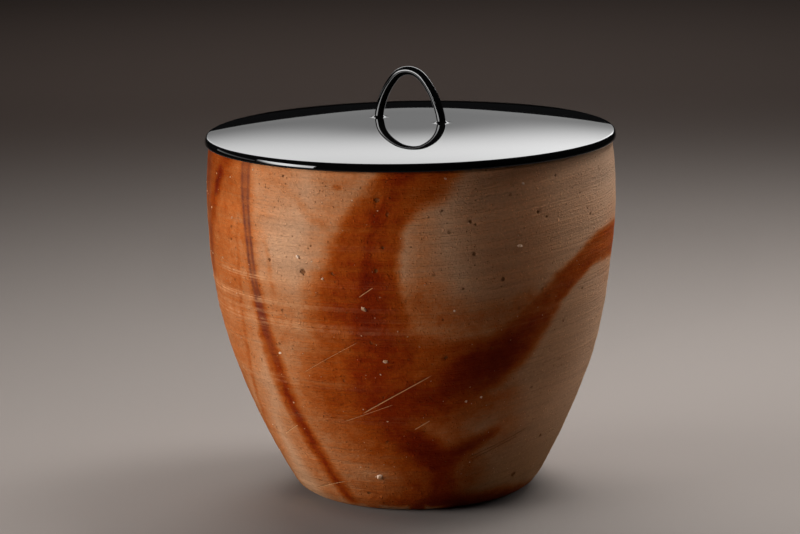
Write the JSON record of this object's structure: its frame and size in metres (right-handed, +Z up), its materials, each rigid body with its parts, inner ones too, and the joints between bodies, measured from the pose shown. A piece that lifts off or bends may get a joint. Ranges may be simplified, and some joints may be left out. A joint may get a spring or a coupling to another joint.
{
  "type": "lidded water jar",
  "caption": "Wheel-thrown unglazed stoneware water jar for the tea room, bucket-shaped on a rounded heel, with a flat domed black lacquer lid and a bent arch handle that lifts it off",
  "frame": {"origin": "centre of the jar's flat base, on the surface that it stands on", "axes": "+Z up through the middle of the jar and lid, the handle's arch stands in the XZ plane"},
  "size_m": [0.19, 0.19, 0.1986],
  "materials": {
    "clay": "unglazed fired stoneware, buff with red-brown straw-fire streaks, gritty and dry",
    "black_lacquer": "wood under polished black lacquer, mirror gloss",
    "lacquer_putty": "wood-flour lacquer putty under the same black gloss",
    "bare_wood": "plain sawn wood, hidden in the joint"
  },
  "bodies": {
    "jar": {"jar_body": "clay"},
    "lid": {"lid_board": "black_lacquer", "locating_ring": "black_lacquer", "handle_arch": "black_lacquer", "left_foot_fillet": "lacquer_putty", "right_foot_fillet": "lacquer_putty", "left_tenon_wedge": "bare_wood", "right_tenon_wedge": "bare_wood"}
  },
  "joints": [
    {"name": "lid_lift", "type": "slide", "parent": "jar", "child": "lid", "axis": [0, 0, 1], "range_m": [0, 0.2]}
  ]
}
